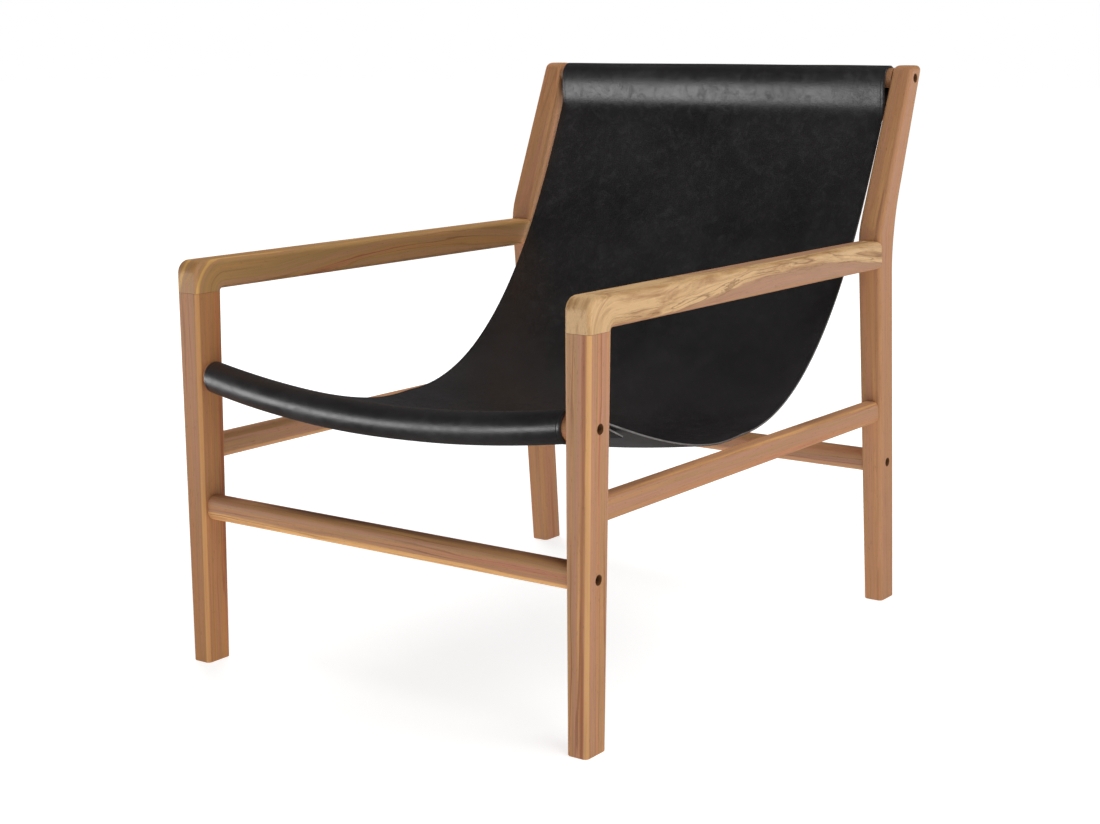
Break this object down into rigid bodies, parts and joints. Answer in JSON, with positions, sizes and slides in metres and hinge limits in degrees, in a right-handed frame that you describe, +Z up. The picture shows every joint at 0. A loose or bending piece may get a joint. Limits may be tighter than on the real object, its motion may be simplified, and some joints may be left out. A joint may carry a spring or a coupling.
{
  "type": "sling lounge chair",
  "caption": "Low lounge armchair whose bolted wooden frame, with raked rear legs and slim arms, carries a hanging sheet of black leather as its seat and back.",
  "frame": {"origin": "on the floor, under the middle of the chair's bounding box", "axes": "+Z up, +X towards the sitter's left, +Y from the front of the chair to its back"},
  "size_m": [0.63, 0.8478, 0.7645],
  "materials": {
    "frame_wood": "oiled satin, tan to orange-brown with a streaked grain",
    "dowel_wood": "bare pale hardwood",
    "leather": "thick black saddle leather, soft satin, grey cut edges",
    "bolt_steel": "blackened",
    "insert_brass": "plain"
  },
  "bodies": {
    "root": {"front_leg_left": "frame_wood", "front_leg_right": "frame_wood", "rear_leg_left": "frame_wood", "rear_leg_right": "frame_wood", "armrest_left": "frame_wood", "armrest_right": "frame_wood", "side_stretcher_left": "frame_wood", "side_stretcher_right": "frame_wood", "front_stretcher": "frame_wood", "rear_stretcher": "frame_wood", "front_seat_rail": "frame_wood", "top_back_rail": "frame_wood", "leather_sling": "leather", "arm_leg_dowel_front_left": "dowel_wood", "arm_leg_dowel_front_right": "dowel_wood", "arm_leg_dowel_rear_left": "dowel_wood", "arm_leg_dowel_rear_right": "dowel_wood", "arm_rear_dowel_lower_left": "dowel_wood", "arm_rear_dowel_lower_right": "dowel_wood", "arm_rear_dowel_upper_left": "dowel_wood", "arm_rear_dowel_upper_right": "dowel_wood", "side_stretcher_front_dowel_lower_left": "dowel_wood", "side_stretcher_front_dowel_lower_right": "dowel_wood", "side_stretcher_front_dowel_upper_left": "dowel_wood", "side_stretcher_front_dowel_upper_right": "dowel_wood", "side_stretcher_rear_dowel_lower_left": "dowel_wood", "side_stretcher_rear_dowel_lower_right": "dowel_wood", "side_stretcher_rear_dowel_upper_left": "dowel_wood", "side_stretcher_rear_dowel_upper_right": "dowel_wood", "pin_seat_rail_left": "dowel_wood", "pin_seat_rail_right": "dowel_wood", "pin_front_stretcher_left": "dowel_wood", "pin_front_stretcher_right": "dowel_wood", "pin_rear_stretcher_left": "dowel_wood", "pin_rear_stretcher_right": "dowel_wood", "bolt_seat_rail_left": "bolt_steel", "bolt_seat_rail_right": "bolt_steel", "bolt_front_stretcher_left": "bolt_steel", "bolt_front_stretcher_right": "bolt_steel", "bolt_rear_stretcher_left": "bolt_steel", "bolt_rear_stretcher_right": "bolt_steel", "bolt_top_rail_left": "bolt_steel", "bolt_top_rail_right": "bolt_steel", "insert_seat_rail_left": "insert_brass", "insert_seat_rail_right": "insert_brass", "insert_front_stretcher_left": "insert_brass", "insert_front_stretcher_right": "insert_brass", "insert_rear_stretcher_left": "insert_brass", "insert_rear_stretcher_right": "insert_brass", "insert_top_rail_left": "insert_brass", "insert_top_rail_right": "insert_brass"}
  },
  "joints": []
}
